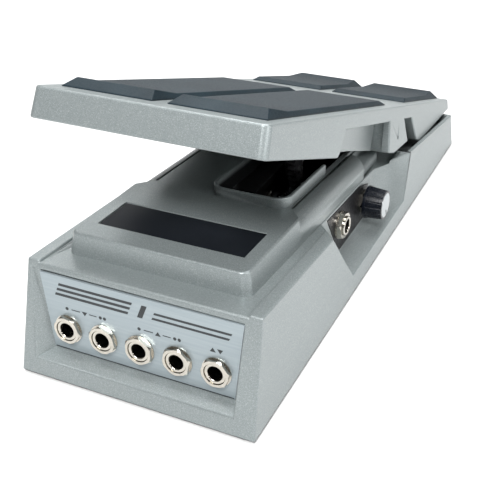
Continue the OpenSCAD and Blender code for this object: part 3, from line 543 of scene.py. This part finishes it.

# Sizes of the marks, in mm
EDGE_GAP = 0.4            # from the ends of the painted gap-shadow line along the lower edge to the panel's sides
LINE = 0.4                # thickness of the painted gap-shadow line along the lower edge and of the printed dashes
STRIPE_PITCH = 2.4
STRIPE_SLANT = 0.5
LABEL_H = 20.6            # height of the marks over the sockets
DOT = 0.75                # radius
DOT_APART = 1.0           # from each dot of a pair to the socket's middle
ARROW = 1.3
ARROW_DROP = 0.2          # how much lower an arrow sits than the dots beside it
ARROWS_APART = 1.6        # from each arrow over the last socket to the socket's middle
DASH_GAP = 2.2            # from a dash to the middle of a single dot or of the arrow
PAIR_GAP = 2.8            # from a dash to the middle of a pair of dots
DISC_SIDES = 20


def on_panel(x, h, out):
    """A point of the socket panel, in metres: x across, h up the panel, out of its face, all in mm."""
    y = PANEL_Y + h * math.sin(PANEL_LEAN) - out * math.cos(PANEL_LEAN)
    z = PANEL_Z + h * math.cos(PANEL_LEAN) + out * math.sin(PANEL_LEAN)
    return Vector((x * MM, cad_low.y + y * MM, FOOT_DROP + z * MM))


def disc(x, h, radius):
    """A round dot."""
    turns = [math.tau * i / DISC_SIDES for i in range(DISC_SIDES)]
    return [(x + radius * math.cos(a), h + radius * math.sin(a)) for a in turns]


def bar(x0, x1, h, thick, slant=0.0):
    """A bar whose ends lean by slant."""
    low, high = h - thick / 2, h + thick / 2
    return [(x0, low), (x1, low), (x1 + slant, high), (x0 + slant, high)]


def stripes(x0, x1, h, thick, count):
    """Slanted bars over each other, each one a millimetre further along."""
    return [bar(x0 + i, x1 + i, h + STRIPE_PITCH * i, thick, STRIPE_SLANT) for i in range(count)]


def arrow(x, h, size):
    """A triangle that points up, or down where size is negative."""
    corners = [(x - size, h - size * 0.6), (x + size, h - size * 0.6), (x, h + size * 0.9)]
    return corners if size > 0 else corners[::-1]


def pair_marks(first, size):
    """One dot over a socket, two over the next, and an arrow between two dashes to join them."""
    left, right = ((first + i - 2) * SOCKET_PITCH for i in (0, 1))
    middle = (left + right) / 2
    return [disc(left, LABEL_H, DOT), disc(right - DOT_APART, LABEL_H, DOT),
            disc(right + DOT_APART, LABEL_H, DOT), arrow(middle, LABEL_H - ARROW_DROP, size),
            bar(left + DASH_GAP, middle - DASH_GAP, LABEL_H, LINE),
            bar(middle + DASH_GAP, right - PAIR_GAP, LABEL_H, LINE)]


def mark_outlines():
    """Generic marks in place of print: stripes, dots and arrows; and a painted shadow line along the lower
    edge, where the panel meets the casting.
    """
    last = 2 * SOCKET_PITCH
    # the first mark is a painted shadow of the gap along the panel's lower edge
    marks = [bar(-PANEL_HALF_LOW + EDGE_GAP, PANEL_HALF_LOW - EDGE_GAP, 0.35, LINE)]
    marks += stripes(x0=-40, x1=-5, h=26.6, thick=1.2, count=3)
    marks.append(bar(x0=-0.6, x1=1.8, h=29, thick=6.0, slant=2.4))
    marks += stripes(x0=6, x1=40, h=27.2, thick=1.0, count=2)
    marks += pair_marks(0, -ARROW) + pair_marks(2, ARROW)
    marks.append(arrow(last - ARROWS_APART, LABEL_H - ARROW_DROP, ARROW))
    marks.append(arrow(last + ARROWS_APART, LABEL_H, -ARROW))
    return marks


def ink_and_gap_shadow():
    """Dark printing ink, also used for the painted shadow of the gap along the panel's lower edge."""
    s = Shader("panel_ink_and_gap_shadow")
    cloud = s.noise(500, 3.0)
    s.colour(s.mix(s.remap(cloud, 0.3, 0.7), INK_AND_SHADOW_DARK, INK_WORN_AND_SHADOW_PALE))
    s.rough(s.remap(cloud, 0.3, 0.7, 0.4, 0.55))
    s.normal(s.bump(s.noise(2400), 0.2, 0.02 * MM))
    return s


def panel_marks():
    """The marks, printed ones and a painted gap-shadow line, as thin sheets that stand just proud of the
    panel.
    """
    shape = bmesh.new()
    for outline in mark_outlines():
        below = [shape.verts.new(on_panel(x, h, -MARK_PROUD / 2)) for x, h in outline]
        above = [shape.verts.new(on_panel(x, h, MARK_PROUD)) for x, h in outline]
        shape.faces.new(above)
        shape.faces.new(below[::-1])
        for i in range(len(outline)):
            k = (i + 1) % len(outline)
            shape.faces.new((below[i], below[k], above[k], above[i]))
    bmesh.ops.recalc_face_normals(shape, faces=shape.faces)
    mesh = bpy.data.meshes.new("panel_marks")
    shape.to_mesh(mesh)
    shape.free()
    mesh.materials.append(ink_and_gap_shadow().material)
    piece = bpy.data.objects.new("panel_marks", mesh)
    bpy.context.collection.objects.link(piece)
    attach(piece, body_of["jack_panel"])


# ------------------------------------------------------------------ studio
FLOOR_HALF = 6.0
WORLD_STRENGTH = 0.18
LIGHT_AIM = (0.0, 0.0, 0.05)
# Each light's place, its width and height, and its watts
LIGHTS = {
    "top": ((0.0, 0.35, 1.4), (1.1, 0.8), 28),
    "back": ((-0.65, 1.25, 0.85), (1.0, 0.4), 4.5),
    "front": ((0.15, -0.85, 1.1), (0.6, 0.35), 23),
    "right": ((1.25, -0.25, 0.6), (0.7, 0.4), 8),
}


def area_light(name, at, size, watts):
    """A soft rectangular light that faces the pedal."""
    data = bpy.data.lights.new(name, "AREA")
    data.shape = "RECTANGLE"
    data.size, data.size_y = size
    data.energy = watts
    lamp = bpy.data.objects.new(name, data)
    lamp.location = at
    lamp.rotation_euler = (Vector(LIGHT_AIM) - Vector(at)).to_track_quat("-Z", "Y").to_euler()
    bpy.context.collection.objects.link(lamp)


def paper_floor():
    """A plain pale floor at the height of the feet."""
    mesh = bpy.data.meshes.new("floor")
    corners = [(-1, -1), (1, -1), (1, 1), (-1, 1)]
    mesh.from_pydata([(x * FLOOR_HALF, y * FLOOR_HALF, 0) for x, y in corners], [], [(0, 1, 2, 3)])
    floor = bpy.data.objects.new("floor", mesh)
    bpy.context.collection.objects.link(floor)
    s = Shader("floor_paper")
    s.colour(s.mix(s.remap(s.noise(3.0), 0.3, 0.7), PAPER_DARK, PAPER))
    s.set(roughness=0.9, specular_ior_level=0.1)
    mesh.materials.append(s.material)


def studio():
    """Floor, even background light and four soft lights."""
    paper_floor()
    world = bpy.data.worlds.new("studio")
    bpy.context.scene.world = world
    world.use_nodes = True
    sky = world.node_tree.nodes["Background"]
    sky.inputs["Color"].default_value = (1.0, 1.0, 1.0, 1.0)
    sky.inputs["Strength"].default_value = WORLD_STRENGTH
    for name, (at, size, watts) in LIGHTS.items():
        area_light(name, at, size, watts)
    bpy.context.scene.view_settings.view_transform = "Standard"


def camera():
    """The camera at its place, turned to its azimuth, elevation and roll."""
    azimuth, elevation, roll = map(math.radians, (CAMERA_AZIMUTH, CAMERA_ELEVATION, CAMERA_ROLL))
    back = Vector((math.sin(azimuth) * math.cos(elevation),
                   -math.cos(azimuth) * math.cos(elevation), math.sin(elevation)))
    right = (-back).cross(Vector((0, 0, 1))).normalized()
    up = right.cross(-back)
    rolled_right = math.cos(roll) * right + math.sin(roll) * up
    rolled_up = math.cos(roll) * up - math.sin(roll) * right
    data = bpy.data.cameras.new("camera")
    data.lens = LENS_MM
    data.sensor_width = SENSOR_MM
    data.shift_x, data.shift_y = SHIFT
    data.clip_start = 0.01
    eye = bpy.data.objects.new("camera", data)
    turn = Matrix((rolled_right, rolled_up, back)).transposed().to_4x4()
    eye.matrix_world = Matrix.Translation(CAMERA_AT) @ turn
    bpy.context.collection.objects.link(eye)
    bpy.context.scene.camera = eye


body_of = {node: name for name, held in frame["record"]["behaviour"]["bodies"].items() for node in held}

camera()
studio()
dress_nodes()
round_edges()
panel_marks()
